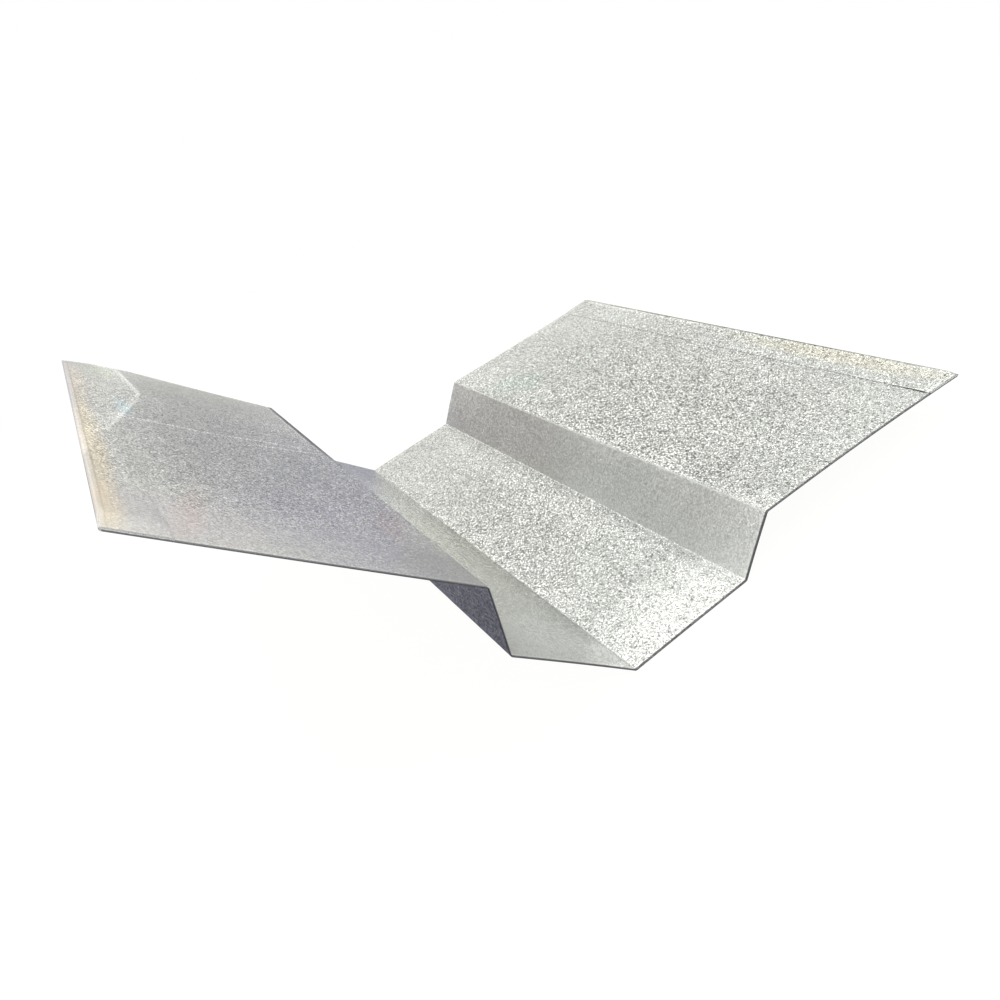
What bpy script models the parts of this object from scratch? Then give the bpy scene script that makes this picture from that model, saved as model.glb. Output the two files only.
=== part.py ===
"""Valley flashing: one strip of zinc-coated steel, folded along its length on a press brake.

Across the valley the strip runs hem, wing, riser, floor half, and back up the other side the same way.
The two floor halves meet at the valley line, the lowest line of the trough, and carry the water. The
risers stop it running sideways, the wings lie under the roof covering, and each wing ends in a teardrop
hem, folded over on top, which stiffens the edge and turns stray water back.

Lying on a level floor the strip tips over onto its right floor half, and it is modelled lying so.
Metres, +Z up, the valley line along Y. The origin is the middle of the underside of that floor half.
"""

import math

import bmesh
import bpy
from mathutils import Matrix, Vector

# Driving dimensions. Widths run across the sheet, from fold line to fold line.
LENGTH = 0.385
SHEET_THICKNESS = 0.0006
FLOOR_WIDTH = 0.081
RISER_WIDTH = 0.040
WING_WIDTH = 0.159
HEM_WIDTH = 0.025

# Pitches in degrees above the horizontal, with the valley line lowest and the trough upright.
FLOOR_PITCH = 23.5
RISER_PITCH = 74.5
WING_PITCH = 22.0

# Folds: the radius inside each bend, the open eye at the root of the hem, and the gap under its raw edge.
INSIDE_RADIUS = 0.0015
HEM_EYE = 0.0012
HEM_LIP_GAP = 0.00025
DEGREES_PER_FACET = 8.0

# Finish: zinc coating gone half matt, grey with a faint warm tone.
ZINC_GREY = (0.62, 0.62, 0.60, 1.0)
ZINC_ROUGHNESS = 0.42
ZINC_METALLIC = 0.9

# The sheet's middle line bends at half a thickness more than its inner face.
BEND_RADIUS = INSIDE_RADIUS + SHEET_THICKNESS / 2
HEM_RADIUS = (HEM_EYE + SHEET_THICKNESS) / 2


def setback(turn_degrees):
    """Length of flat that a bend takes up on each side of its fold line."""
    return BEND_RADIUS * math.tan(math.radians(turn_degrees) / 2)


# What the bends at the valley line, at the riser's foot and at its brow take up.
VALLEY_SETBACK = setback(2 * FLOOR_PITCH)
FOOT_SETBACK = setback(RISER_PITCH - FLOOR_PITCH)
BROW_SETBACK = setback(RISER_PITCH - WING_PITCH)


def clear_scene():
    for obj in list(bpy.data.objects):
        bpy.data.objects.remove(obj, do_unlink=True)


class SheetLine:
    """The sheet's middle line in section, drawn the way the brake makes it: flat, bend, flat, bend."""

    def __init__(self):
        self.points = [Vector((0.0, 0.0))]
        self.heading = 0.0

    def flat(self, length):
        """A straight run along the present heading."""
        angle = math.radians(self.heading)
        self.points.append(self.points[-1] + length * Vector((math.cos(angle), math.sin(angle))))

    def bend(self, turn_degrees, radius):
        """An arc that turns the heading, upwards for a positive turn, as short chords of it."""
        facets = max(2, math.ceil(abs(turn_degrees) / DEGREES_PER_FACET))
        side = math.copysign(1.0, turn_degrees)
        start = math.radians(self.heading)
        centre = self.points[-1] + side * radius * Vector((-math.sin(start), math.cos(start)))
        for step in range(1, facets + 1):
            angle = start + math.radians(turn_degrees) * step / facets
            spoke = side * radius * Vector((math.sin(angle), -math.cos(angle)))
            self.points.append(centre + spoke)
        self.heading += turn_degrees


def hem_overturn(return_flat):
    """Degrees past a half turn that bring the hem's raw edge down onto the wing, but for the lip gap.

    After a half turn and a bit more the hem stands 1 + cos(bit) radii above the wing's middle line, and
    falls by sin(bit) over its flat. That height is set equal to one sheet and the gap, and solved.
    """
    lip_height = SHEET_THICKNESS + HEM_LIP_GAP
    slant = math.hypot(HEM_RADIUS, return_flat)
    turn = math.acos((lip_height - HEM_RADIUS) / slant) - math.atan2(return_flat, HEM_RADIUS)
    return math.degrees(turn)


def half_section():
    """Middle line from the valley line out to the raw edge of the right hem, the trough upright."""
    hem_reach = HEM_RADIUS + SHEET_THICKNESS / 2
    return_flat = HEM_WIDTH - hem_reach

    line = SheetLine()
    line.bend(FLOOR_PITCH, BEND_RADIUS)
    line.flat(FLOOR_WIDTH - VALLEY_SETBACK - FOOT_SETBACK)
    line.bend(RISER_PITCH - FLOOR_PITCH, BEND_RADIUS)
    line.flat(RISER_WIDTH - FOOT_SETBACK - BROW_SETBACK)
    line.bend(WING_PITCH - RISER_PITCH, BEND_RADIUS)
    line.flat(WING_WIDTH - BROW_SETBACK - hem_reach)
    line.bend(180.0 + hem_overturn(return_flat), HEM_RADIUS)
    line.flat(return_flat)
    return line.points


def laid_section():
    """Middle line from the left hem's raw edge to the right one's, lying on the right floor half."""
    right = half_section()
    left = [Vector((-point.x, point.y)) for point in reversed(right[1:])]

    # The valley's fold line lies under its arc, where the two floor halves would meet if the bend was sharp.
    fold_line = Vector((0.0, BEND_RADIUS * (1 - 1 / math.cos(math.radians(FLOOR_PITCH)))))
    lean = Matrix.Rotation(-math.radians(FLOOR_PITCH), 2)
    floor_middle = (VALLEY_SETBACK + FLOOR_WIDTH - FOOT_SETBACK) / 2
    origin = Vector((floor_middle, -SHEET_THICKNESS / 2))
    return [lean @ (point - fold_line) - origin for point in left + right]


def zinc_finish():
    material = bpy.data.materials.new("zinc_coating")
    material.use_nodes = True
    shader = material.node_tree.nodes["Principled BSDF"]
    shader.inputs["Base Color"].default_value = ZINC_GREY
    shader.inputs["Roughness"].default_value = ZINC_ROUGHNESS
    shader.inputs["Metallic"].default_value = ZINC_METALLIC
    return material


def folded_sheet(name, section, material):
    """Draws the section along the valley as one open surface and gives it the sheet's thickness."""
    shape = bmesh.new()
    near = [shape.verts.new((point.x, -LENGTH / 2, point.y)) for point in section]
    far = [shape.verts.new((point.x, LENGTH / 2, point.y)) for point in section]
    for i in range(len(section) - 1):
        shape.faces.new((near[i], near[i + 1], far[i + 1], far[i]))
    mesh = bpy.data.meshes.new(name)
    shape.to_mesh(mesh)
    shape.free()
    mesh.materials.append(material)
    mesh.shade_smooth()
    mesh.set_sharp_from_angle(angle=math.radians(2 * DEGREES_PER_FACET))

    sheet = bpy.data.objects.new(name, mesh)
    bpy.context.scene.collection.objects.link(sheet)
    wall = sheet.modifiers.new("sheet_thickness", "SOLIDIFY")
    wall.thickness = SHEET_THICKNESS
    wall.offset = 0.0
    wall.use_even_offset = True
    return sheet


def main():
    clear_scene()
    folded_sheet("flashing_sheet", laid_section(), zinc_finish())


main()
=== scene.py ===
"""Looks of the valley flashing: the folded, zinc-coated sheet in a plain studio.

The sheet lies tipped over onto its right floor half, as it rests unheld. The photograph shows the trough
upright, so the view and the studio's sky are set out for the upright trough and then leaned with the sheet.
Metres, +Z up, the valley line along Y. The origin is the middle of the underside of the right floor half.
"""

import math

import bpy
import numpy as np
from bpy.props import FloatProperty, FloatVectorProperty, IntProperty, PointerProperty
from bpy.types import Operator, Panel, PropertyGroup
from mathutils import Matrix, Vector


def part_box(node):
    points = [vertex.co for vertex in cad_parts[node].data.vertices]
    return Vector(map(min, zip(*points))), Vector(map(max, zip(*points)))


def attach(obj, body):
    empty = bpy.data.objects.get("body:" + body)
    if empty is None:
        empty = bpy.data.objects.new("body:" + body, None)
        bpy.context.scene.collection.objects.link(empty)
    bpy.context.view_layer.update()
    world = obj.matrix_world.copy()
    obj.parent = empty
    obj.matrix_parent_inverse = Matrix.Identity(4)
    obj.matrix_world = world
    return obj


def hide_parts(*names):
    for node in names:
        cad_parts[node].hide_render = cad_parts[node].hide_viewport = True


bl_info = {
    "name": "Valley flashing",
    "version": (1, 0, 0),
    "blender": (4, 5, 0),
    "location": "3D View > Sidebar > Flashing",
    "description": "Builds the finished surface of a folded valley flashing and the studio round it",
    "category": "Add Mesh",
}

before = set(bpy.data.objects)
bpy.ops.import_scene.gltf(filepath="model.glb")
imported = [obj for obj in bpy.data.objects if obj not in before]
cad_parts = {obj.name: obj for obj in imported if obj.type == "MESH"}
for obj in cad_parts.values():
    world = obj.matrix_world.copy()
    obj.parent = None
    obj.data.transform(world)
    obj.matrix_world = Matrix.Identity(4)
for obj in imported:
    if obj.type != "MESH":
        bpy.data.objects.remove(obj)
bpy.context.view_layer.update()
CAD_LOW, CAD_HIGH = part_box("flashing_sheet")

SHEET_UV = "unrolled_sheet"
PLAN_UV = "upright_plan"
GRAIN = "grain_strength"

# How fine the mesh is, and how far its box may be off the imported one's besides the flex.
DEGREES_PER_FACET = 6.0
FLAT_STEP = 0.004
LENGTH_STEPS = 96
CUT_ROUNDING_TURNS = (90.0, 60.0, 30.0)
SHARP_ANGLE = math.radians(35)
CAD_MATCH = 0.0003

# The hems' damage: the share of their height and the lengths, left and right, over which the shear pinched
# their ends. Then where the lip's pressing starts and over how much it grows, in shares of the length, and
# how much thinner the pressed lip is and how far in.
PINCH_SHARE = 0.96
PINCH_LENGTHS = {-1: 0.020, 1: 0.006}
PINCHED_FLAT = 0.001
PRESS_START = 0.015
PRESS_GROWTH = 0.07
LIP_THINNING = 0.8
LIP_TAPER = 0.003

# The left wing's far corner droops beyond this share of the wing's width, by this power of what is left.
DROOP_START = 0.7
DROOP_POWER = 1.5

# The fewest and the most faint waves along the length.
WAVE_COUNTS = (0.8, 3.2)

# How much the crystals differ in brightness, by girth from the valley line, negative on the left.
GRAIN_STRENGTHS = (
    (-0.306, 0.9), (-0.2835, 0.9), (-0.2825, 0.12), (-0.277, 0.12), (-0.27, 0.32), (-0.262, 0.6),
    (-0.24, 1.3), (-0.122, 1.0), (-0.1205, 2.8), (-0.081, 2.8), (-0.080, 0.5), (-0.06, 0.5), (-0.03, 0.85),
    (-0.001, 1.3), (0.001, 1.1), (0.081, 1.1), (0.0815, 0.6), (0.1214, 0.6), (0.1218, 2.2), (0.20, 2.1),
    (0.24, 1.4), (0.306, 1.0),
)

# That is multiplied by a strength for the place along the valley from the middle. Each table goes as far as
# its girth: the left wing, riser and floor half, then the right floor half, riser and wing.
ALONG_STRENGTHS = (
    (-0.1212, ((-0.19, 0.5), (-0.162, 0.7), (-0.077, 2.4), (0.0, 2.9), (0.077, 3.6), (0.154, 1.4),
               (0.19, 1.0))),
    (-0.0805, ((-0.19, 1.3), (0.19, 1.5))),
    (0.0, ((-0.19, 0.6), (-0.162, 0.8), (-0.077, 1.9), (0.0, 2.1), (0.077, 2.4), (0.154, 1.4), (0.19, 1.0))),
    (0.0812, ((-0.19, 0.8), (-0.154, 1.0), (-0.077, 2.3), (0.0, 2.6), (0.077, 1.7), (0.154, 1.25),
              (0.19, 1.1))),
    (0.1215, ((-0.162, 1.2), (0.0, 1.3), (0.077, 1.8), (0.162, 1.8))),
    (1.0, ((-0.19, 0.8), (-0.154, 1.25), (-0.077, 2.2), (0.0, 2.4), (0.077, 1.45), (0.154, 0.95),
           (0.19, 0.8))),
)

# The crystals' greatest lean, in strengths, their shades, how far a shade swings the grey, the streaks along
# the sheet, and how the roughness changes on bright and dull crystals and on the right riser.
GREATEST_STRENGTH = 1.8
MOTTLE_WIDTH = 0.03
MOTTLE_SHADE = 0.2
BORDER_SHADE = -0.8
MIDDLE_SHADE = 0.2
GREY_SWING = 0.34
STREAK_WIDTH = 0.0005
STREAK_LENGTH = 0.012
BRIGHT_AND_DULL = (-0.05, 0.07)
RISER_DULLING = 0.15

# Stains, scratches, a yellowed hem, and painted light, shade, highlights and reflections on the zinc: place
# from the valley line and from the middle of the length, half width across and along, and turn in degrees,
# all in the upright plan, then the colour and the gain that the zinc is multiplied by.
TINTS = (
    # Left wing: painted shade over a cooler middle, a warm outer edge lifted by painted light, faint coloured
    # stains, a painted dark line and a painted bluish reflection along the outer fold, and a painted dark
    # line with a painted highlight beside it at the far brow.
    (-0.145, -0.01, 0.09, 0.21, 0, "#F8F9FF", 0.78),
    (-0.15, 0.15, 0.06, 0.07, 0, "#FFFFFF", 0.84),
    (-0.175, 0.06, 0.055, 0.16, 0, "#FFFFFF", 0.86),
    (-0.095, -0.175, 0.035, 0.04, 0, "#FFFFFF", 0.82),
    (-0.2286, -0.06, 0.0102, 0.17, 0, "#FFF1DB", 1.22),
    (-0.229, 0.11, 0.012, 0.09, 0, "#FFF5EA", 1.22),
    (-0.215, 0.08, 0.011, 0.06, 0, "#FFFFFA", 1.14),
    (-0.195, -0.08, 0.025, 0.06, 0, "#FFFFFF", 0.9),
    (-0.105, 0.16, 0.05, 0.06, 0, "#FFFFFF", 0.9),
    (-0.23, -0.165, 0.012, 0.04, 0, "#FFF8EE", 1.12),
    (-0.2291, 0, 0.0007, 0.28, 0, "#F6F3EE", 0.8),
    (-0.231, 0, 0.002, 0.3, 0, "#E9EEFF", 1.3),
    (-0.211, 0.165, 0.015, 0.05, 0, "#F8FFF3", 1.06),
    (-0.205, 0.045, 0.007, 0.04, 0, "#EAF8FF", 1.1),
    (-0.15, -0.13, 0.05, 0.08, 0, "#FCF9FF", 1.02),
    (-0.202, -0.165, 0.035, 0.045, 0, "#FFFBFF", 0.99),
    (-0.123, -0.09, 0.022, 0.055, 0, "#FFFDFE", 1.12),
    (-0.1, -0.115, 0.011, 0.045, -18, "#FFF5F6", 1.0),
    (-0.198, -0.15, 0.008, 0.055, -12, "#FFF7F4", 1.0),
    (-0.136, 0.107, 0.016, 0.006, 0, "#FFFFFF", 1.1),
    (-0.105, 0.187, 0.025, 0.006, 0, "#FFFFFF", 1.12),
    (-0.0866, 0.12, 0.0032, 0.15, 0, "#FFFFFF", 0.02),
    (-0.0902, 0.12, 0.0014, 0.12, 0, "#FFFFFF", 1.35),
    # Left wing: two parallel scratches.
    (-0.181, 0.0185, 0.042, 0.0026, 7, "#FFFFFF", 1.6),
    (-0.124, 0.0338, 0.05, 0.0026, 18, "#FFFFFF", 1.68),
    (-0.118, 0.024, 0.038, 0.0024, 22, "#FFFFFF", 1.56),
    # Floor halves: painted light, most of all near the near edge, with a touch of painted shade on the right.
    (-0.038, -0.05, 0.05, 0.24, 0, "#FFFFFF", 1.4),
    (-0.02, 0, 0.03, 0.18, 0, "#FEFFF8", 1.08),
    (-0.025, -0.17, 0.035, 0.05, 0, "#FFFEFF", 1.09),
    (0.036, -0.19, 0.08, 0.06, 0, "#FFFFFF", 1.37),
    (0.04, 0, 0.05, 0.14, 0, "#FFFFFF", 0.97),
    (0.063, 0.01, 0.02, 0.18, 0, "#FFFFFF", 1.18),
    # Right wing: a painted highlight along the brow, painted light and shade over the wing, a faint stain, a
    # yellowed hem, and on the hem's fold a painted highlight with a painted dark line outside it.
    (0.0862, -0.04, 0.0008, 0.22, 0, "#FFFFFF", 1.2),
    (0.105, -0.165, 0.035, 0.06, 0, "#FFFFFF", 0.88),
    (0.1, 0.16, 0.035, 0.05, 0, "#FFFFFF", 1.1),
    (0.155, 0, 0.11, 0.23, 0, "#FFFFFF", 0.92),
    (0.2, -0.05, 0.032, 0.09, 0, "#FFFFFF", 1.07),
    (0.108, 0.115, 0.022, 0.04, 25, "#F8FFFD", 1.0),
    (0.224, -0.11, 0.011, 0.12, 0, "#FFFBF1", 1.05),
    (0.2283, 0, 0.0028, 0.3, 0, "#FFFFFC", 1.22),
    (0.2314, 0, 0.0022, 0.3, 0, "#FFFFFF", 0.2),
)

# The same for the right riser, which these don't leave: painted light near, painted shade, faintly pinkish,
# far.
RISER_TINTS = (
    (0.0795, -0.17, 0.05, 0.08, 0, "#FFFEFF", 1.15),
    (0.0795, -0.07, 0.05, 0.08, 0, "#FFFFFF", 1.1),
    (0.0795, 0.1, 0.05, 0.15, 0, "#FFFBF8", 0.88),
)

# A tint's border: where its share is full and none, in its own radius, how far it wanders and over what
# width, in metres, and the most that it wanders in its own radius.
TINT_FULL, TINT_NONE = 0.3, 1.0
TINT_WANDER = 0.006
TINT_WANDER_WIDTH = 0.02
TINT_MOST_WANDER = 0.7

# An arrow-shaped painted reflection on the left wing, bounded by a crease line: its crown in the upright
# plan, its skew, slope and roundness. Beyond the line the zinc gets the painted reflection, and a painted
# highlight on a ridge along it. Each pair is where a share is none and full, by depth beyond the crease, or
# along the valley from the crown for the ridge's ends. Both have a gain and a lean of their crystals along Y,
# and the ridge's grain is smeared by a share.
CREASE_CROWN = (-0.1874, 0.1020)
CREASE_SKEW = 0.063
CREASE_SLOPE = 0.151
CREASE_ROUNDNESS = 0.012
PALE_START = (0.0, 0.0024)
PALE_END = (0.030, 0.005)
RIDGE_END = (0.0070, 0.0020)
RIDGE_NEAR_END = (-0.170, -0.080)
RIDGE_FAR_END = (0.100, 0.060)
# Gains of the painted reflection and of the painted highlight on the ridge.
PAINTED_REFLECTION_GAIN, PAINTED_HIGHLIGHT_GAIN = 1.16, 1.36
PALE_LEAN, RIDGE_LEAN = -0.035, -0.04
RIDGE_SMEAR = 0.6

# Painted light and shade along the sheet's edges: the distances from its edge where its share is none and
# full, and its gain. The painted dark line along the near cut is a change of colour, and weaker on the hems.
# A change at a fold takes up a millimetre.
RAW_EDGE_PAINTED_LIGHT = (0.0005, 0.0002, 1.6)
NEAR_CUT_PAINTED_HIGHLIGHT = (0.0038, 0.0022, 1.14)
FAR_CUT_PAINTED_HIGHLIGHT = (0.0060, 0.0030, 1.08)
NEAR_CUT_PAINTED_SHADE = (0.0016, 0.0010)
PAINTED_SHADE_ON_HEM = 0.5
FOLD_SOFTNESS = 0.001

# The cut faces: how dark the tear marks are, and the girths where the painted light on the left wing's
# cut starts and is full, with its gain.
TORN_SHADE = 0.55
LEFT_CUT_PAINTED_LIGHT = (-0.16, -0.26, 2.0)

# Settings that properties and nodes share, and the middle of a noise's colours.
METRES = {"unit": "LENGTH", "precision": 5}
COLOUR = {"size": 3, "min": 0.0, "max": 1.0, "subtype": "COLOR"}
SMOOTHLY = {"interpolation_type": "SMOOTHSTEP"}
BLENDED = {"data_type": "RGBA"}
MULTIPLIED = {"data_type": "RGBA", "blend_type": "MULTIPLY"}
MIDDLE = (0.5, 0.5, 0.5)


def linear(hex_code):
    """An sRGB hex colour in linear light.

    A channel is value / 12.92 up to 0.04045, and ((value + 0.055) / 1.055) ** 2.4 above.
    """
    value = np.array([int(hex_code[i:i + 2], 16) for i in (1, 3, 5)]) / 255
    light = np.where(value <= 0.04045, value / 12.92, ((value + 0.055) / 1.055) ** 2.4)
    return tuple(float(channel) for channel in light)


def opaque(colour):
    return (*colour[:3], 1.0)


def connect(tree, node, inputs):
    """Sets or links a node's inputs. A node given as a value stands for its first enabled output."""
    for name, value in inputs.items():
        if isinstance(value, bpy.types.Node):
            value = next(output for output in value.outputs if output.enabled)
        if isinstance(value, bpy.types.NodeSocket):
            tree.links.new(value, node.inputs[name])
        else:
            node.inputs[name].default_value = value


def add_node(tree, kind, inputs=None, **settings):
    """Adds a node of that kind with its settings and connects its inputs."""
    node = tree.nodes.new("ShaderNode" + kind)
    for name, value in settings.items():
        setattr(node, name, value)
    connect(tree, node, inputs or {})
    return node


def new_object(name, data):
    """A new object in the scene."""
    item = bpy.data.objects.new(name, data)
    bpy.context.scene.collection.objects.link(item)
    return item


class FlashingSizes(PropertyGroup):
    """Sizes of the folded sheet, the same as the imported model's, and the slight flex of the real one."""

    length: FloatProperty(
        name="Length", description="Length along the valley line",
        default=CAD_HIGH.y - CAD_LOW.y, min=0.05, **METRES)
    sheet_thickness: FloatProperty(
        name="Sheet", description="Thickness of the coated sheet", default=0.0006, min=0.0002, **METRES)
    floor_width: FloatProperty(
        name="Floor half", description="From the valley line to the foot of the riser, across the sheet",
        default=0.081, min=0.02, **METRES)
    riser_width: FloatProperty(
        name="Riser", description="From the riser's foot to its brow, across the sheet",
        default=0.040, min=0.01, **METRES)
    wing_width: FloatProperty(
        name="Wing", description="From the riser's brow to the outer fold of the hem, across the sheet",
        default=0.159, min=0.05, **METRES)
    hem_width: FloatProperty(
        name="Hem", description="From the outer fold of the hem to its raw edge",
        default=0.025, min=0.005, **METRES)
    floor_pitch: FloatProperty(
        name="Floor pitch", description="Slope of the floor halves with the trough upright",
        default=math.radians(23.5), subtype="ANGLE")
    riser_pitch: FloatProperty(
        name="Riser pitch", description="Slope of the risers with the trough upright",
        default=math.radians(74.5), subtype="ANGLE")
    wing_pitch: FloatProperty(
        name="Wing pitch", description="Slope of the wings with the trough upright",
        default=math.radians(22.0), subtype="ANGLE")
    inside_radius: FloatProperty(
        name="Inside radius", description="Radius inside each bend", default=0.0015, min=0.0002, **METRES)
    hem_eye: FloatProperty(
        name="Hem eye", description="Open width inside the root of the teardrop hem",
        default=0.0012, min=0.0002, **METRES)
    hem_lip_gap: FloatProperty(
        name="Hem lip gap", description="Gap between the hem's raw edge and the wing",
        default=0.00025, min=0.0, **METRES)
    cut_rounding: FloatProperty(
        name="Cut rounding", description="Radius that the shear leaves along a cut edge",
        default=0.00012, min=0.00002, **METRES)
    right_lifts: FloatVectorProperty(
        name="Right wing lifts",
        description="How far its outer corners stand above the flat wing, near and far",
        default=(-0.0046, 0.0029), size=2, **METRES)
    left_lifts: FloatVectorProperty(
        name="Left wing lifts",
        description="How far its outer corners stand above the flat wing, near and far",
        default=(0.0021, 0.0028), size=2, **METRES)
    far_droop: FloatProperty(
        name="Far droop", description="How far the left wing's far outer corner is then knocked down",
        default=0.0055, **METRES)
    oil_canning: FloatProperty(
        name="Oil canning", description="Height of the faint waves in the flats",
        default=0.0002, min=0.0, **METRES)


class ZincFinish(PropertyGroup):
    """Colours and grain of the zinc coating and of the sheared edges."""

    light_grain: FloatVectorProperty(
        name="Light grain", description="Colour of the brightest zinc crystals",
        default=linear("#FDFFFE"), **COLOUR)
    dark_grain: FloatVectorProperty(
        name="Dark grain", description="Colour of the dullest zinc crystals",
        default=linear("#6E6F6F"), **COLOUR)
    sheared_steel: FloatVectorProperty(
        name="Sheared steel", description="Colour of the bare steel in a cut edge",
        default=linear("#767779"), **COLOUR)
    # Painted shade: the colour of the dark line along the near cut.
    painted_edge_shade: FloatVectorProperty(
        name="Rolled edge", description="Colour of the zinc where the shear rolled it over",
        default=linear("#6C6D6F"), **COLOUR)
    grain_width: FloatProperty(
        name="Grain width", description="Width of a zinc crystal", default=0.00078, min=0.0002, **METRES)
    face_tilt: FloatProperty(
        name="Face tilt", description="How far the top face's crystals tip out of its plane",
        default=0.26, min=0.0, max=1.0)
    back_tilt: FloatProperty(
        name="Back tilt", description="How far the underside's crystals tip out of its plane",
        default=0.20, min=0.0, max=1.0)
    roughness: FloatProperty(
        name="Roughness", description="Roughness of the coating",
        default=0.20, min=0.05, max=1.0, subtype="FACTOR")
    seed: IntProperty(
        name="Seed", description="Picks another arrangement of the faint waves", default=7, min=0)


class StudioStage(PropertyGroup):
    """The floor, the light and the photograph's viewpoint."""

    floor_radius: FloatProperty(
        name="Floor radius", description="Radius of the pale floor", default=1.3, min=0.5, unit="LENGTH")
    floor_colour: FloatVectorProperty(
        name="Floor", description="Colour of the floor", default=linear("#F6F6F4"), **COLOUR)
    floor_mirrored: FloatVectorProperty(
        name="Floor in the metal", description="Colour that the metal mirrors from the floor",
        default=linear("#9393A2"), **COLOUR)
    view_place: FloatVectorProperty(
        name="View place", description="The camera's place from the valley line's middle, trough upright",
        default=(-0.2311, -0.4758, 0.2343), size=3, subtype="TRANSLATION", **METRES)
    view_azimuth: FloatProperty(
        name="View azimuth", description="Direction of view, from along the valley towards the right wing",
        default=math.radians(28.365), subtype="ANGLE")
    view_drop: FloatProperty(
        name="View drop", description="How far the view points below the horizontal, trough upright",
        default=math.radians(20.904), subtype="ANGLE")
    view_roll: FloatProperty(
        name="View roll", description="Turn of the camera about its own line of sight, trough upright",
        default=math.radians(1.56), subtype="ANGLE")
    lens: FloatProperty(
        name="Lens", description="Focal length on a 36 mm wide square frame, in millimetres",
        default=28.929, min=10.0)


def hem_overturn(sizes, hem_radius, return_flat):
    """Turn past a half turn that brings the hem's raw edge down to the lip gap above the wing."""
    lip_height = sizes.sheet_thickness + sizes.hem_lip_gap
    slant = math.hypot(hem_radius, return_flat)
    return math.acos((lip_height - hem_radius) / slant) - math.atan2(return_flat, hem_radius)


def half_runs(sizes):
    """Turn and girth of each run from the valley line outwards.

    The runs are bend, flat, bend, flat, bend, flat, hem bend and flat return. A bend's girth is its middle
    radius times its turn, and it takes that radius times tan(turn / 2) off the flat on each side.
    """
    bend_radius = sizes.inside_radius + sizes.sheet_thickness / 2
    hem_radius = (sizes.hem_eye + sizes.sheet_thickness) / 2
    hem_reach = hem_radius + sizes.sheet_thickness / 2
    return_flat = sizes.hem_width - hem_reach
    foot_turn = sizes.riser_pitch - sizes.floor_pitch
    brow_turn = sizes.wing_pitch - sizes.riser_pitch
    hem_turn = math.pi + hem_overturn(sizes, hem_radius, return_flat)
    valley_setback = bend_radius * math.tan(sizes.floor_pitch)
    foot_setback = bend_radius * math.tan(foot_turn / 2)
    brow_setback = bend_radius * math.tan(-brow_turn / 2)

    turns = np.array([sizes.floor_pitch, 0, foot_turn, 0, brow_turn, 0, hem_turn, 0])
    girths = np.array([
        bend_radius * sizes.floor_pitch,
        sizes.floor_width - valley_setback - foot_setback,
        bend_radius * foot_turn,
        sizes.riser_width - foot_setback - brow_setback,
        -bend_radius * brow_turn,
        sizes.wing_width - brow_setback - hem_reach,
        hem_radius * hem_turn,
        return_flat,
    ])
    floor_middle = (valley_setback + sizes.floor_width - foot_setback) / 2
    fold_line_drop = bend_radius * (1 / math.cos(sizes.floor_pitch) - 1)
    return turns, girths, floor_middle, fold_line_drop


def cosine_steps(count):
    """count + 1 places from 0 to 1, (1 - cos) / 2 of even turns: the steps shrink towards both ends."""
    return (1 - np.cos(np.linspace(0, math.pi, count + 1))) / 2


def cut_insets(radius):
    """Distances from a cut edge, outwards, where its rounding is drawn: radius times 1 - sin of each turn."""
    return radius * (1 - np.sin(np.radians(CUT_ROUNDING_TURNS)))[::-1]


def half_thickness(sizes, inset):
    """Half the sheet's thickness at a distance from the cut edge, which is a quarter circle on each side."""
    radius = sizes.cut_rounding
    short = np.clip(radius - inset, 0, radius)
    return sizes.sheet_thickness / 2 - radius + np.sqrt(radius ** 2 - short ** 2)


def section_line(sizes):
    """The sheet's middle line as it lies, from the left hem's raw edge to the right one's, as whole arrays.

    Girth is counted from the valley line, negative on the left. The heading turns evenly along each bend and
    stays along each flat, and is opposite on the left. A chord between two girths points along their mean
    heading, and is sin(h) / h times the girth between them, with h half the turn between them: exact for
    arcs and flats. The line is the sum of chords, leaned by the floor's pitch.
    """
    turns, girths, floor_middle, fold_line_drop = half_runs(sizes)
    ends = np.concatenate([[0], np.cumsum(girths)])
    headings = np.concatenate([[0], np.cumsum(turns)])

    rounding = cut_insets(sizes.cut_rounding)
    last = ends[-1] - sizes.cut_rounding
    places = []
    for run, turn in enumerate(turns):
        start, stop = ends[run], min(ends[run + 1], last)
        if turn:
            facets = math.ceil(abs(math.degrees(turn)) / DEGREES_PER_FACET)
            places.append(np.linspace(start, stop, facets + 1)[:-1])
        else:
            places.append(start + (stop - start) * cosine_steps(math.ceil((stop - start) / FLAT_STEP))[:-1])
    half = np.concatenate([*places, [last], ends[-1] - rounding])

    girth = np.concatenate([-half[:0:-1], half])
    heading = np.sign(girth) * np.interp(np.abs(girth), ends, headings)
    turn = np.diff(heading)
    chord = np.diff(girth) * np.sinc(turn / (2 * math.pi))
    mean = (heading[1:] + heading[:-1]) / 2 - sizes.floor_pitch
    steps = chord[:, None] * np.stack([np.cos(mean), np.sin(mean)], 1)
    line = np.concatenate([np.zeros((1, 2)), np.cumsum(steps, 0)])

    lean = -sizes.floor_pitch
    fold_line = fold_line_drop * np.array([math.sin(lean), -math.cos(lean)])
    origin = np.array([floor_middle, -sizes.sheet_thickness / 2])
    line += -line[len(half) - 1] - fold_line - origin
    return girth, heading - sizes.floor_pitch, line, ends, headings


def smooth(share):
    """3 s squared - 2 s cubed, with s the share held between 0 and 1."""
    share = np.clip(share, 0, 1)
    return share * share * (3 - 2 * share)


def waves(length_places, length, seed):
    """A gentle wave along the valley from -1 to 1: the mean of three cosines of random pitch and phase."""
    random = np.random.default_rng(seed)
    counts = random.uniform(*WAVE_COUNTS, 3)
    phases = random.uniform(0, 2 * math.pi, 3)
    turns = 2 * math.pi * counts[:, None] * length_places / length + phases[:, None]
    return np.cos(turns).mean(0)


def pressed(sizes, along):
    """How far the hem's lip is pressed onto the wing: not at the near end, fully soon after it."""
    return smooth((along / sizes.length + 0.5 - PRESS_START) / PRESS_GROWTH)


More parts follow.
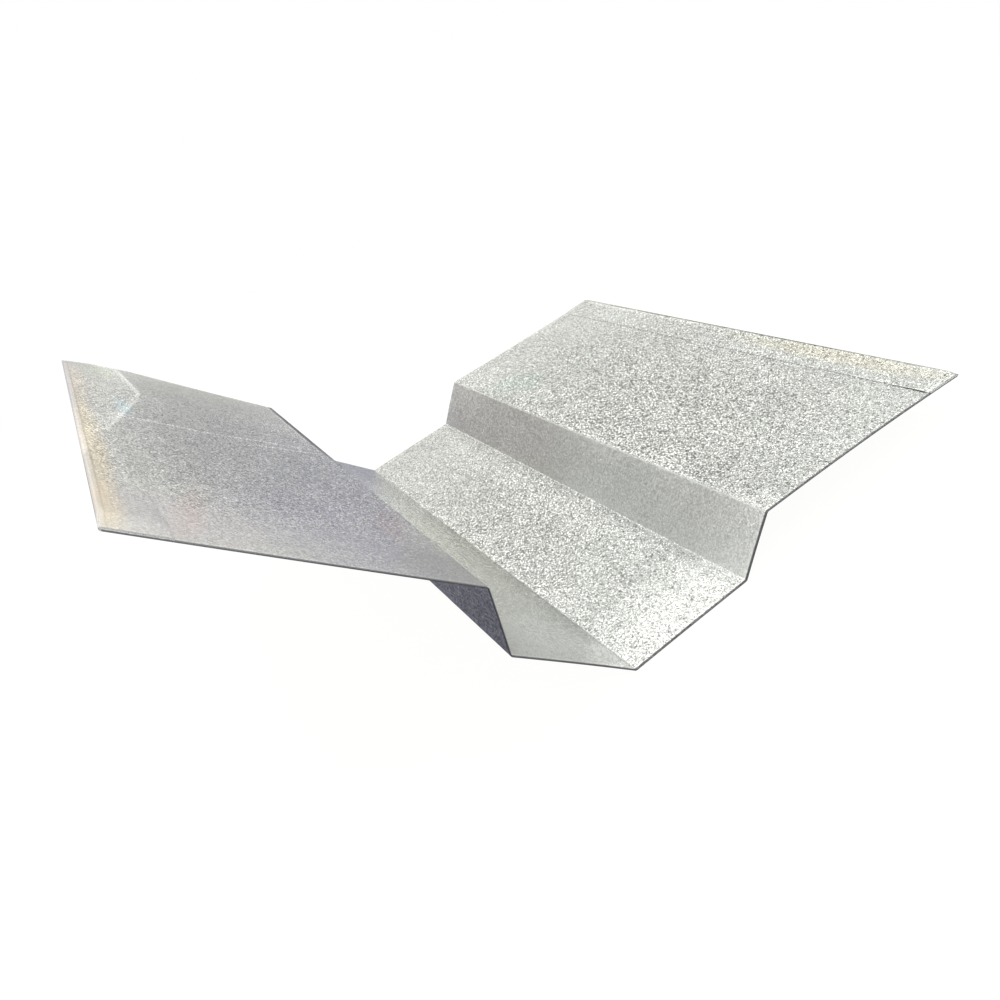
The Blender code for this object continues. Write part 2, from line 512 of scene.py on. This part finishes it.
def flex(sizes, seed, girth, line, ends, headings, along):
    """How far each place of the sheet stands off its flat panel: an (x, z) shift on the girth by length grid.

    A panel bulges by sin(pi a) times a wave along the valley, a being the share of its width. A wing lifts by
    a squared, blended evenly from the near corner's lift to the far one's, and the left wing's far corner
    droops. A hem goes with its wing, and its height over the wing shrinks to the sheet's own: for the whole
    hem at the cut ends, which the shear pinched, and for the lip alone away from the near end.
    """
    shift = np.zeros((len(girth), len(along), 2))
    share_along = along / sizes.length + 0.5
    downwards = np.array([math.sin(sizes.floor_pitch), math.cos(sizes.floor_pitch)])
    for side in (-1, 1):
        for panel, run in enumerate((1, 3, 5)):
            wing = run == 5
            inside = girth * side >= ends[run]
            if not wing:
                inside &= girth * side <= ends[run + 1]
            angle = side * headings[run] - sizes.floor_pitch
            across = np.array([math.cos(angle), math.sin(angle)])
            lift = np.array([-across[1], across[0]])
            from_root = line[inside] - line[inside][0 if side == 1 else -1]
            reach = from_root @ across * side
            share = np.clip(reach / reach.max(), 0, 1)
            wave = waves(along, sizes.length, seed + 10 * panel + side)
            bulge = sizes.oil_canning * np.sin(math.pi * share)[:, None] * (1 + wave)
            if wing:
                near, far = sizes.right_lifts if side == 1 else sizes.left_lifts
                bulge = bulge + share[:, None] ** 2 * (near + (far - near) * share_along)
                excess = np.clip(from_root @ lift - sizes.sheet_thickness, 0, None)[:, None]
                lip = np.clip((girth[inside] * side - ends[7]) / (ends[8] - ends[7]), 0, 1)[:, None] ** 2
                pinch = PINCH_LENGTHS[side]
                pinched = smooth((np.abs(along) - sizes.length / 2 + pinch) / (pinch - PINCHED_FLAT))
                bulge = bulge - PINCH_SHARE * excess * np.maximum(pinched, lip * pressed(sizes, along))
            shift[inside] = bulge[:, :, None] * lift
            if wing and side == -1:
                outer = np.clip((share - DROOP_START) / (1 - DROOP_START), 0, 1)[:, None]
                droop = sizes.far_droop * outer ** DROOP_POWER * share_along ** 2
                shift[inside] -= droop[:, :, None] * downwards
    return shift


def skin_faces(rows, columns):
    """Faces of two skins on the same grid: the top, the back, and the strips that join their edges."""
    top = np.arange(rows * columns).reshape(rows, columns)
    back = top + rows * columns
    quads = (
        (top[:-1, :-1], top[1:, :-1], top[1:, 1:], top[:-1, 1:]),
        (back[:-1, :-1], back[:-1, 1:], back[1:, 1:], back[1:, :-1]),
        (top[0, :-1], top[0, 1:], back[0, 1:], back[0, :-1]),
        (top[-1, :-1], back[-1, :-1], back[-1, 1:], top[-1, 1:]),
        (top[:-1, 0], back[:-1, 0], back[1:, 0], top[1:, 0]),
        (top[:-1, -1], top[1:, -1], back[1:, -1], back[:-1, -1]),
    )
    return np.concatenate([np.stack(corners, -1).reshape(-1, 4) for corners in quads])


def add_map(mesh, name, faces, across, along):
    """A UV map of the place across and along the sheet, the same on both skins."""
    grid = np.stack(np.broadcast_arrays(across[:, None], along[None, :]), -1).reshape(-1, 2)
    uv = np.tile(grid, (2, 1))[faces.ravel()]
    mesh.uv_layers.new(name=name).uv.foreach_set("vector", uv.astype(np.float32).ravel())


def grain_strength(girth, along):
    """The strength by girth times the strength along the valley of the panel that the girth is in."""
    panel = np.searchsorted([reach for reach, table in ALONG_STRENGTHS], girth)
    tables = np.array([np.interp(along, *zip(*table)) for reach, table in ALONG_STRENGTHS])
    return np.interp(girth, *zip(*GRAIN_STRENGTHS))[:, None] * tables[panel]


def folded_sheet(name, sizes, seed, finishes):
    """The whole strip as one closed mesh: two skins on a grid of girth by length, joined by four cut faces.

    A point is the middle line at its girth, plus or minus half the thickness along the line's normal, plus
    the flex, carried along Y. The half thickness falls off by a quarter circle towards each cut edge. Where
    the hem's lip is pressed down, it thins out from the outside.
    """
    girth, heading, line, ends, headings = section_line(sizes)
    edge = sizes.length / 2
    inner = (edge - sizes.cut_rounding) * (2 * cosine_steps(LENGTH_STEPS) - 1)
    rounding = cut_insets(sizes.cut_rounding)
    along = np.concatenate([rounding[::-1] - edge, inner, edge - rounding])

    inset = np.minimum((ends[-1] - np.abs(girth))[:, None], (edge - np.abs(along))[None, :])
    full = half_thickness(sizes, inset)
    normal = np.stack([-np.sin(heading), np.cos(heading)], 1)
    taper = smooth((np.abs(girth) - ends[-1] + LIP_TAPER) / LIP_TAPER)
    thinned = LIP_THINNING * taper[:, None] * pressed(sizes, along)
    half = full * (1 - thinned)
    middle = line[:, None, :] + flex(sizes, seed, girth, line, ends, headings, along)
    middle = middle + (full * thinned)[:, :, None] * normal[:, None, :]
    skins = [middle + side * half[:, :, None] * normal[:, None, :] for side in (1, -1)]
    y = np.broadcast_to(along, half.shape)
    points = np.concatenate([np.stack([skin[..., 0], y, skin[..., 1]], -1).reshape(-1, 3) for skin in skins])
    faces = skin_faces(*half.shape)

    # The finishes are face, back, cut and inside of the hem. The top skin turns inwards at a hem's fold, so
    # there the top's coating is on the outside of the other skin.
    in_hem = np.abs(girth[1:] + girth[:-1]) / 2 > ends[6]
    cut = np.where(in_hem, 3, 2)
    folded = np.repeat(in_hem, len(along) - 1)
    raw = np.zeros(2 * (len(along) - 1))
    slots = np.concatenate([np.where(folded, 3, 0), np.where(folded, 0, 1), raw, cut, cut])

    mesh = bpy.data.meshes.new(name)
    mesh.from_pydata(points, [], faces)
    for finish in finishes:
        mesh.materials.append(finish)
    mesh.polygons.foreach_set("material_index", slots.astype(np.int32))

    # Unrolled, the sheet's map is girth by length, also along a cut. The plan map is each place's distance
    # from the valley line, trough upright, by its place along the valley.
    level = np.array([math.cos(sizes.floor_pitch), -math.sin(sizes.floor_pitch)])
    add_map(mesh, SHEET_UV, faces, girth, along)
    add_map(mesh, PLAN_UV, faces, (line - line[len(line) // 2]) @ level, along)
    strength = np.tile(grain_strength(girth, along).ravel(), 2)
    mesh.attributes.new(GRAIN, "FLOAT", "POINT").data.foreach_set("value", strength.astype(np.float32))

    mesh.shade_smooth()
    mesh.set_sharp_from_angle(angle=SHARP_ANGLE)
    mesh.validate()
    return new_object(name, mesh), points


def new_finish(name):
    """A new material, its node tree and its shader."""
    material = bpy.data.materials.new(name)
    material.use_nodes = True
    return material, material.node_tree, material.node_tree.nodes["Principled BSDF"]


def tinted(tree, colour, plan, tints, within=None):
    """The colour multiplied by every tint: an ellipse whose share fades with its own radius."""
    wander = add_node(tree, "TexNoise", {"Vector": plan, "Scale": 1 / TINT_WANDER_WIDTH, "Detail": 3.0})
    drift = add_node(tree, "VectorMath", {0: wander.outputs["Color"], 1: MIDDLE}, operation="SUBTRACT")
    for x, y, width, length, turn, hex_code, gain in tints:
        own = add_node(tree, "Mapping", {"Vector": plan, "Location": (x, y, 0), "Scale": (width, length, 1),
                                         "Rotation": (0, 0, math.radians(turn))}, vector_type="TEXTURE")
        ragged = [min(TINT_MOST_WANDER, TINT_WANDER / reach) for reach in (width, length)]
        own = add_node(tree, "VectorMath", {0: drift, 1: (*ragged, 0), 2: own}, operation="MULTIPLY_ADD")
        radius = add_node(tree, "VectorMath", {0: own}, operation="LENGTH")
        share = add_node(tree, "MapRange", {"Value": radius, "From Min": TINT_NONE, "From Max": TINT_FULL},
                         **SMOOTHLY)
        if within is not None:
            share = add_node(tree, "Math", {0: share, 1: within}, operation="MULTIPLY")
        tint = [gain * channel for channel in linear(hex_code)]
        colour = add_node(tree, "Mix", {0: share, 6: colour, 7: opaque(tint)}, **MULTIPLIED)
    return colour


def painted_reflection_shares(tree, plan):
    """Shares of the painted reflection beyond the crease and of the painted highlight on the ridge along it.

    The crease is x = crown + skew * away - slope * sqrt(away ** 2 + roundness ** 2) in the upright plan, away
    being y past the crown.
    """
    parts = add_node(tree, "SeparateXYZ", {0: plan})
    away = add_node(tree, "Math", {0: parts.outputs["Y"], 1: CREASE_CROWN[1]}, operation="SUBTRACT")
    legs = add_node(tree, "CombineXYZ", {"X": away, "Y": CREASE_ROUNDNESS})
    reach = add_node(tree, "VectorMath", {0: legs}, operation="LENGTH")
    line = add_node(tree, "Math", {0: reach, 1: -CREASE_SLOPE, 2: CREASE_CROWN[0]}, operation="MULTIPLY_ADD")
    line = add_node(tree, "Math", {0: away, 1: CREASE_SKEW, 2: line}, operation="MULTIPLY_ADD")
    depth = add_node(tree, "Math", {0: line, 1: parts.outputs["X"]}, operation="SUBTRACT")
    product, products = 1.0, []
    for value, (none, full) in ((depth, PALE_START), (depth, PALE_END), (depth, RIDGE_END),
                                (away, RIDGE_NEAR_END), (away, RIDGE_FAR_END)):
        share = add_node(tree, "MapRange", {"Value": value, "From Min": none, "From Max": full}, **SMOOTHLY)
        product = add_node(tree, "Math", {0: product, 1: share}, operation="MULTIPLY")
        products.append(product)
    return products[1], products[4]


def crystals(tree, place, width):
    """Zinc crystals of that width as cells round scattered points, their borders made ragged by a noise."""
    ragged = add_node(tree, "TexNoise", {"Vector": place, "Scale": 1 / (2 * width), "Detail": 2.0})
    drift = add_node(tree, "VectorMath", {0: ragged.outputs["Color"], 1: MIDDLE}, operation="SUBTRACT")
    pushed = add_node(tree, "VectorMath", {0: drift, 1: (width,) * 3, 2: place}, operation="MULTIPLY_ADD")
    return add_node(tree, "TexVoronoi", {"Vector": pushed, "Scale": 1 / width})


def facets(tree, grain, strength, tilt, pale, ridge):
    """Normals: each crystal tips its own way by its strength. Beyond the crease all lean along Y."""
    tipped = add_node(tree, "VectorMath", {0: grain.outputs["Color"], 1: MIDDLE}, operation="SUBTRACT")
    reach = add_node(tree, "Math", {0: strength, 1: GREATEST_STRENGTH}, operation="MINIMUM")
    reach = add_node(tree, "Math", {0: reach, 1: tilt}, operation="MULTIPLY")
    scaled = add_node(tree, "VectorMath", {0: tipped, "Scale": reach}, operation="SCALE")
    facing = add_node(tree, "NewGeometry").outputs["Normal"]
    lean = add_node(tree, "VectorMath", {0: scaled, 1: facing}, operation="ADD")
    slope = add_node(tree, "Math", {0: pale, 1: PALE_LEAN}, operation="MULTIPLY")
    slope = add_node(tree, "Math", {0: ridge, 1: RIDGE_LEAN, 2: slope}, operation="MULTIPLY_ADD")
    slope = add_node(tree, "CombineXYZ", {"Y": slope})
    bent = add_node(tree, "VectorMath", {0: lean, 1: slope}, operation="ADD")
    return add_node(tree, "VectorMath", {0: bent}, operation="NORMALIZE")


def crystal_greys(tree, finish, place, grain, own_shade, strength, streak):
    """Each crystal's own grey, darker towards its border, with faint mottling and streaks along the sheet."""
    mottle = add_node(tree, "TexNoise", {"Vector": place, "Scale": 1 / MOTTLE_WIDTH, "Detail": 4.0})
    shade = add_node(tree, "Math", {0: mottle, 1: MOTTLE_SHADE, 2: own_shade}, operation="MULTIPLY_ADD")
    shade = add_node(tree, "Math", {0: grain.outputs["Distance"], 1: BORDER_SHADE, 2: shade},
                     operation="MULTIPLY_ADD")
    swing = add_node(tree, "Math", {0: shade, 1: -MIDDLE_SHADE}, operation="ADD")
    swing = add_node(tree, "Math", {0: swing, 1: strength}, operation="MULTIPLY")
    grey = add_node(tree, "Math", {0: swing, 1: GREY_SWING, 2: 0.5}, operation="MULTIPLY_ADD")
    colour = add_node(tree, "Mix", {0: grey, 6: opaque(finish.dark_grain), 7: opaque(finish.light_grain)},
                      **BLENDED)
    drawn = add_node(tree, "VectorMath", {0: place, 1: (1 / STREAK_WIDTH, 1 / STREAK_LENGTH, 0)},
                     operation="MULTIPLY")
    lines = add_node(tree, "TexNoise", {"Vector": drawn, "Scale": 1.0, "Detail": 3.0})
    streaks = add_node(tree, "MapRange", {"Value": lines, "From Min": 0.35, "From Max": 0.65,
                                          "To Min": 1 - streak, "To Max": 1 + streak})
    return add_node(tree, "VectorMath", {0: colour, "Scale": streaks}, operation="SCALE")


def painted_edges(tree, finish, sizes, colour, across, along, fold, raw):
    """The colour with painted light and shade along its edges.

    Painted light brightens the right hem's raw edge and painted highlights run along the cuts. The near cut's
    last millimetre gets a painted dark line.
    """
    near, far = -sizes.length / 2, sizes.length / 2
    # Painted light on the right hem's raw edge, and painted highlights along the near and far cuts.
    for value, edge, inwards, edge_light in ((across, raw, -1, RAW_EDGE_PAINTED_LIGHT), (along, near, 1, NEAR_CUT_PAINTED_HIGHLIGHT),
                                       (along, far, -1, FAR_CUT_PAINTED_HIGHLIGHT)):
        none, full, gain = edge_light
        share = add_node(tree, "MapRange", {"Value": value, "From Min": edge + inwards * none,
                                            "From Max": edge + inwards * full}, **SMOOTHLY)
        colour = add_node(tree, "Mix", {0: share, 6: colour, 7: opaque((gain,) * 3)}, **MULTIPLIED)
    # The painted dark line along the near cut, weaker on the hems.
    none, full = NEAR_CUT_PAINTED_SHADE
    rolled = add_node(tree, "MapRange", {"Value": along, "From Min": near + none, "From Max": near + full},
                      **SMOOTHLY)
    girth = add_node(tree, "Math", {0: across}, operation="ABSOLUTE")
    unfolded = add_node(tree, "MapRange", {"Value": girth, "From Min": fold + FOLD_SOFTNESS,
                                           "From Max": fold - FOLD_SOFTNESS, "To Min": PAINTED_SHADE_ON_HEM})
    rolled = add_node(tree, "Math", {0: rolled, 1: unfolded}, operation="MULTIPLY")
    return add_node(tree, "Mix", {0: rolled, 6: colour, 7: opaque(finish.painted_edge_shade)}, **BLENDED)


def zinc_coating(name, finish, sizes, tilt, streak):
    """Galvanised steel, hot-dipped and skin-passed: small flat zinc crystals, each tipped its own way.

    The eye gets a fine sparkle from them where the light is strong, a soft even grey where it isn't, and
    faint colours where the passivation dried. The right riser is duller. The colour also carries painted
    light, shade, highlights and a painted reflection.
    """
    material, tree, shader = new_finish(name)
    place = add_node(tree, "UVMap", uv_map=SHEET_UV)
    plan = add_node(tree, "UVMap", uv_map=PLAN_UV)
    across = add_node(tree, "SeparateXYZ", {0: place}).outputs["X"]
    along = add_node(tree, "SeparateXYZ", {0: plan}).outputs["Y"]
    foot, brow, fold, raw = np.cumsum(half_runs(sizes)[1])[[2, 3, 5, 7]]
    riser = 1.0
    for none, full in ((foot - FOLD_SOFTNESS, foot), (brow + FOLD_SOFTNESS, brow)):
        share = add_node(tree, "MapRange", {"Value": across, "From Min": none, "From Max": full}, **SMOOTHLY)
        riser = add_node(tree, "Math", {0: riser, 1: share}, operation="MULTIPLY")

    pale, ridge = painted_reflection_shares(tree, plan)
    grain = crystals(tree, place, finish.grain_width)
    own = add_node(tree, "SeparateColor", {0: grain.outputs["Color"]})
    given = add_node(tree, "Attribute", attribute_name=GRAIN).outputs["Fac"]
    unsmeared = add_node(tree, "Math", {0: ridge, 1: -RIDGE_SMEAR, 2: 1.0}, operation="MULTIPLY_ADD")
    strength = add_node(tree, "Math", {0: given, 1: unsmeared}, operation="MULTIPLY")

    colour = crystal_greys(tree, finish, place, grain, own.outputs["Red"], strength, streak)
    # Stains and painted light, shade and highlights on the zinc, then painted light and shade on the right
    # riser.
    colour = tinted(tree, colour, plan, TINTS)
    colour = tinted(tree, colour, plan, RISER_TINTS, riser)
    # The painted reflection beyond the crease and the painted highlight on its ridge.
    for share, gain in ((pale, PAINTED_REFLECTION_GAIN), (ridge, PAINTED_HIGHLIGHT_GAIN)):
        colour = add_node(tree, "Mix", {0: share, 6: colour, 7: opaque((gain,) * 3)}, **MULTIPLIED)
    colour = painted_edges(tree, finish, sizes, colour, across, along, fold, raw)

    bright, dull = (finish.roughness + change for change in BRIGHT_AND_DULL)
    rough = add_node(tree, "MapRange", {"Value": own.outputs["Green"], "To Min": bright, "To Max": dull})
    rough = add_node(tree, "Math", {0: riser, 1: RISER_DULLING, 2: rough}, operation="MULTIPLY_ADD")
    normal = facets(tree, grain, strength, tilt, pale, ridge)
    connect(tree, shader, {"Base Color": colour, "Roughness": rough, "Normal": normal, "Metallic": 1.0})
    return material


def dull_zinc(name, finish):
    """Zinc inside the hems, where dust and flux have dried: matt grey, so the hem's open end isn't black."""
    material, tree, shader = new_finish(name)
    place = add_node(tree, "UVMap", uv_map=SHEET_UV)
    dust = add_node(tree, "TexNoise", {"Vector": place, "Scale": 1 / 0.002, "Detail": 3.0})
    colour = add_node(tree, "Mix", {0: dust, 6: opaque(finish.dark_grain), 7: opaque(finish.light_grain)},
                      **BLENDED)
    connect(tree, shader, {"Base Color": colour, "Metallic": 0.3, "Roughness": 0.7})
    return material


def sheared_steel(name, finish):
    """Bare steel cut by a guillotine: a dull grey edge with fine upright tear marks, and painted light far
    left.
    """
    material, tree, shader = new_finish(name)
    place = add_node(tree, "UVMap", uv_map=SHEET_UV)
    tears = add_node(tree, "TexNoise", {"Vector": place, "Scale": 1 / 0.0015, "Detail": 3.0})
    torn = [TORN_SHADE * channel for channel in finish.sheared_steel]
    colour = add_node(tree, "Mix", {0: tears, 6: opaque(torn), 7: opaque(finish.sheared_steel)}, **BLENDED)
    across = add_node(tree, "SeparateXYZ", {0: place}).outputs["X"]
    # Painted light on the left wing's cut.
    none, full, gain = LEFT_CUT_PAINTED_LIGHT
    share = add_node(tree, "MapRange", {"Value": across, "From Min": none, "From Max": full}, **SMOOTHLY)
    colour = add_node(tree, "Mix", {0: share, 6: colour, 7: opaque((gain,) * 3)}, **MULTIPLIED)
    bump = add_node(tree, "Bump", {"Height": tears, "Strength": 0.4, "Distance": 0.0001})
    connect(tree, shader, {"Base Color": colour, "Normal": bump, "Metallic": 1.0, "Roughness": 0.5})
    return material


class FLASHING_OT_folded_sheet(Operator):
    """Builds the folded sheet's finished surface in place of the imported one"""

    bl_idname = "flashing.folded_sheet"
    bl_label = "Folded sheet"

    def execute(self, context):
        sizes = context.scene.flashing_sizes
        finish = context.scene.flashing_finish
        finishes = [
            zinc_coating("galvanised_spangle_face", finish, sizes, tilt=finish.face_tilt, streak=0.04),
            zinc_coating("galvanised_spangle_back", finish, sizes, tilt=finish.back_tilt, streak=0.35),
            sheared_steel("guillotined_steel_edge", finish),
            dull_zinc("dusty_zinc_in_hem", finish),
        ]
        sheet, points = folded_sheet("folded_sheet", sizes, finish.seed, finishes)
        flexed = max(map(abs, (*sizes.right_lifts, *sizes.left_lifts, sizes.far_droop)))
        slack = CAD_MATCH + flexed + 2 * sizes.oil_canning
        misfit = max(np.abs(points.min(0) - CAD_LOW).max(), np.abs(points.max(0) - CAD_HIGH).max())
        if misfit > slack:
            raise RuntimeError(f"the folded sheet misses the packed one by {misfit * 1000:.2f} mm")
        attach(sheet, "root")
        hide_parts("flashing_sheet")
        return {"FINISHED"}


def leaned(sizes, direction):
    """A direction for the upright trough, turned with it as the sheet tips onto its right floor half."""
    return Matrix.Rotation(sizes.floor_pitch, 3, "Y") @ Vector(direction)


def pointing(azimuth, elevation):
    """Unit direction at an azimuth from +Y towards +X and an elevation above the horizontal, in radians."""
    level = math.cos(elevation)
    return Vector((level * math.sin(azimuth), level * math.cos(azimuth), math.sin(elevation)))


# The floor disc: its corners, its rings and its fade as shares of its radius, how deep it lies under the
# sheet, and how much of its colour takes shadows and how much shines.
FLOOR_CORNERS = 96
FLOOR_RINGS = (0.35, 0.7, 1.0)
FLOOR_FADE = (0.45, 0.95)
FLOOR_DEPTH = 0.0002
FLOOR_SHADED = 0.06
FLOOR_GLOW = 1.05


def studio_floor(stage):
    """A pale disc whose rim fades out, so that no horizon shows. The metal mirrors it darker than it is seen.

    Its points are rings of even turns round a hub.
    """
    around = np.linspace(0, 2 * math.pi, FLOOR_CORNERS, endpoint=False)
    radii = stage.floor_radius * np.array(FLOOR_RINGS)
    rings = radii[:, None, None] * np.stack([np.cos(around), np.sin(around)], -1)
    flat = np.concatenate([[[0.0, 0.0]], rings.reshape(-1, 2)])
    points = np.column_stack([flat, np.full(len(flat), -FLOOR_DEPTH)])
    ring = np.arange(len(radii) * FLOOR_CORNERS).reshape(len(radii), FLOOR_CORNERS) + 1
    onward = np.roll(ring, -1, axis=1)
    hub = np.stack([np.zeros(FLOOR_CORNERS, int), ring[0], onward[0]], -1)
    bands = np.stack([ring[:-1], ring[1:], onward[1:], onward[:-1]], -1).reshape(-1, 4)
    mesh = bpy.data.meshes.new("studio_floor")
    mesh.from_pydata(points, [], [*hub.tolist(), *bands.tolist()])

    material = bpy.data.materials.new("pale_matt_floor")
    material.use_nodes = True
    tree = material.node_tree
    tree.nodes.clear()
    place = add_node(tree, "TexCoord").outputs["Object"]
    distance = add_node(tree, "VectorMath", {0: place}, operation="LENGTH")
    start, stop = (share * stage.floor_radius for share in FLOOR_FADE)
    fade = add_node(tree, "MapRange", {"Value": distance, "From Min": start, "From Max": stop}, **SMOOTHLY)
    shaded = add_node(tree, "BsdfDiffuse", {"Color": opaque([FLOOR_SHADED * c for c in stage.floor_colour])})
    glow = add_node(tree, "Emission", {"Color": opaque(stage.floor_colour), "Strength": FLOOR_GLOW})
    seen = add_node(tree, "AddShader", {0: shaded, 1: glow})
    mirrored = add_node(tree, "BsdfDiffuse", {"Color": opaque(stage.floor_mirrored)})
    glossy = add_node(tree, "LightPath").outputs["Is Glossy Ray"]
    floor = add_node(tree, "MixShader", {0: glossy, 1: seen, 2: mirrored})
    clear = add_node(tree, "BsdfTransparent")
    faded = add_node(tree, "MixShader", {0: fade, 1: floor, 2: clear})
    add_node(tree, "OutputMaterial", {"Surface": faded})
    mesh.materials.append(material)
    disc = new_object("studio_floor", mesh)


# Sky that the metal mirrors, by elevation over the upright trough's horizon in degrees. A ceiling of light
# panels shows in it from the first rise on, fully at the second, spaced in heights of the ceiling.
SKY = ((-90, "#7C7D83"), (-8, "#8F9094"), (0, "#B4B3B2"), (3, "#BAB9B8"), (6, "#BEBDBB"), (9, "#CAC8C4"),
       (12, "#D6D4CF"), (18, "#E8E7E1"), (24, "#F6F5F0"), (27, "#E8E8E3"), (33, "#DEDED9"), (39, "#E2E2DD"),
       (44, "#EAEAE5"), (49, "#F9F9F4"), (90, "#FBFBF6"))
SKY_BRIGHTNESS = 1.45
CEILING_RISES = (0.40, 0.52)
PANEL_SPACING = 0.45
PANEL_BORDER = 0.5
PANEL_CONTRAST = 0.9


def studio_sky(sizes):
    """White to the eye. The metal mirrors a soft grey sky that gets lighter from the horizon to overhead.

    A place on the ceiling is the direction over its rise, and the panels are the sum of a cosine each way.
    """
    world = bpy.data.worlds.new("studio_sky")
    world.use_nodes = True
    bpy.context.scene.world = world
    tree = world.node_tree
    tree.nodes.clear()
    direction = add_node(tree, "TexCoord").outputs["Generated"]
    height, *sides = (add_node(tree, "VectorMath", {0: direction, 1: leaned(sizes, axis)},
                               operation="DOT_PRODUCT") for axis in ((0, 0, 1), (1, 0, 0), (0, 1, 0)))
    share = add_node(tree, "MapRange", {"Value": height, "From Min": -1.0, "From Max": 1.0})
    ramp = add_node(tree, "ValToRGB", {0: share})
    stops = ramp.color_ramp.elements
    for number, (elevation, hex_code) in enumerate(SKY):
        position = (math.sin(math.radians(elevation)) + 1) / 2
        stop = stops[number] if number < 2 else stops.new(position)
        stop.position = position
        stop.color = opaque(linear(hex_code))

    cosines = []
    for side in sides:
        place = add_node(tree, "Math", {0: side, 1: height}, operation="DIVIDE")
        phase = add_node(tree, "Math", {0: place, 1: 2 * math.pi / PANEL_SPACING}, operation="MULTIPLY")
        cosines.append(add_node(tree, "Math", {0: phase}, operation="COSINE"))
    both = add_node(tree, "Math", {0: cosines[0], 1: cosines[1]}, operation="ADD")
    panel = add_node(tree, "MapRange", {
        "Value": both, "From Min": -PANEL_BORDER, "From Max": PANEL_BORDER,
        "To Min": 1 - PANEL_CONTRAST, "To Max": 1 + PANEL_CONTRAST}, **SMOOTHLY)
    start, full = CEILING_RISES
    above = add_node(tree, "MapRange", {"Value": height, "From Min": start, "From Max": full}, **SMOOTHLY)
    lit = add_node(tree, "Mix", {0: above, 2: 1.0, 3: panel}, data_type="FLOAT")
    bright = add_node(tree, "Math", {0: lit, 1: SKY_BRIGHTNESS}, operation="MULTIPLY")
    mirrored = add_node(tree, "Background", {"Color": ramp, "Strength": bright})
    seen = add_node(tree, "Background", {"Color": (1, 1, 1, 1), "Strength": 1.0})
    by_camera = add_node(tree, "LightPath").outputs["Is Camera Ray"]
    mixed = add_node(tree, "MixShader", {0: by_camera, 1: mirrored, 2: seen})
    add_node(tree, "OutputWorld", {"Surface": mixed})


def softbox(name, direction, distance, width, height, brightness, shines_in_metal=True):
    """A rectangular lamp facing the origin. A brightness of 1 makes its face as bright as white."""
    lamp = bpy.data.lights.new(name, "AREA")
    lamp.shape = "RECTANGLE"
    lamp.size = width
    lamp.size_y = height
    lamp.energy = brightness * math.pi * width * height
    box = new_object(name, lamp)
    turn = direction.to_track_quat("Z", "Y").to_matrix().to_4x4()
    box.matrix_world = Matrix.Translation(direction * distance) @ turn
    box.visible_camera = False
    box.visible_glossy = shines_in_metal


def photograph_view(sizes, stage):
    """The camera: placed and pointed for the upright trough, then leaned with it about the valley line."""
    floor_middle, fold_line_drop = half_runs(sizes)[2:]
    forward = pointing(stage.view_azimuth, -stage.view_drop)
    level = forward.cross(Vector((0, 0, 1))).normalized()
    above = level.cross(forward)
    up = math.cos(stage.view_roll) * above + math.sin(stage.view_roll) * level
    right = forward.cross(up)
    turn = Matrix((leaned(sizes, right), leaned(sizes, up), leaned(sizes, -forward))).transposed()
    valley_line = Vector((-floor_middle, 0, sizes.sheet_thickness / 2))
    data = bpy.data.cameras.new("photograph_view")
    data.lens = stage.lens
    data.sensor_width = 36
    camera = new_object("photograph_view", data)
    camera.matrix_world = Matrix.Translation(valley_line + leaned(sizes, stage.view_place)) @ turn.to_4x4()
    bpy.context.scene.camera = camera


class FLASHING_OT_studio_stage(Operator):
    """Builds the pale floor, the soft light and the photograph's view"""

    bl_idname = "flashing.studio_stage"
    bl_label = "Studio stage"

    def execute(self, context):
        sizes = context.scene.flashing_sizes
        stage = context.scene.flashing_stage
        context.scene.view_settings.view_transform = "Standard"
        studio_floor(stage)
        studio_sky(sizes)
        softbox("floor_wash", Vector((0, 0, 1)), distance=1.8, width=2.6, height=2.6, brightness=1.0,
                shines_in_metal=False)
        left = leaned(sizes, pointing(azimuth=math.radians(-38), elevation=math.radians(2)))
        softbox("left_softbox", left, distance=1.5, width=0.9, height=0.5, brightness=0.2)
        photograph_view(sizes, stage)
        return {"FINISHED"}


class FLASHING_PT_sidebar(Panel):
    """Sizes, finish and stage of the valley flashing"""

    bl_idname = "FLASHING_PT_sidebar"
    bl_label = "Valley flashing"
    bl_space_type = "VIEW_3D"
    bl_region_type = "UI"
    bl_category = "Flashing"

    def draw(self, context):
        scene = context.scene
        groups = ((scene.flashing_sizes, FLASHING_OT_folded_sheet), (scene.flashing_finish, None),
                  (scene.flashing_stage, FLASHING_OT_studio_stage))
        for settings, operator in groups:
            box = self.layout.box()
            for name in settings.bl_rna.properties.keys():
                if name not in {"rna_type", "name"}:
                    box.prop(settings, name)
            if operator:
                box.operator(operator.bl_idname)


CLASSES = (FlashingSizes, ZincFinish, StudioStage, FLASHING_OT_folded_sheet, FLASHING_OT_studio_stage,
           FLASHING_PT_sidebar)


def register():
    for cls in CLASSES:
        bpy.utils.register_class(cls)
    bpy.types.Scene.flashing_sizes = PointerProperty(type=FlashingSizes)
    bpy.types.Scene.flashing_finish = PointerProperty(type=ZincFinish)
    bpy.types.Scene.flashing_stage = PointerProperty(type=StudioStage)


def unregister():
    del bpy.types.Scene.flashing_stage
    del bpy.types.Scene.flashing_finish
    del bpy.types.Scene.flashing_sizes
    for cls in reversed(CLASSES):
        bpy.utils.unregister_class(cls)


def main():
    register()
    bpy.ops.flashing.folded_sheet()
    bpy.ops.flashing.studio_stage()


if __name__ == "__main__":
    main()
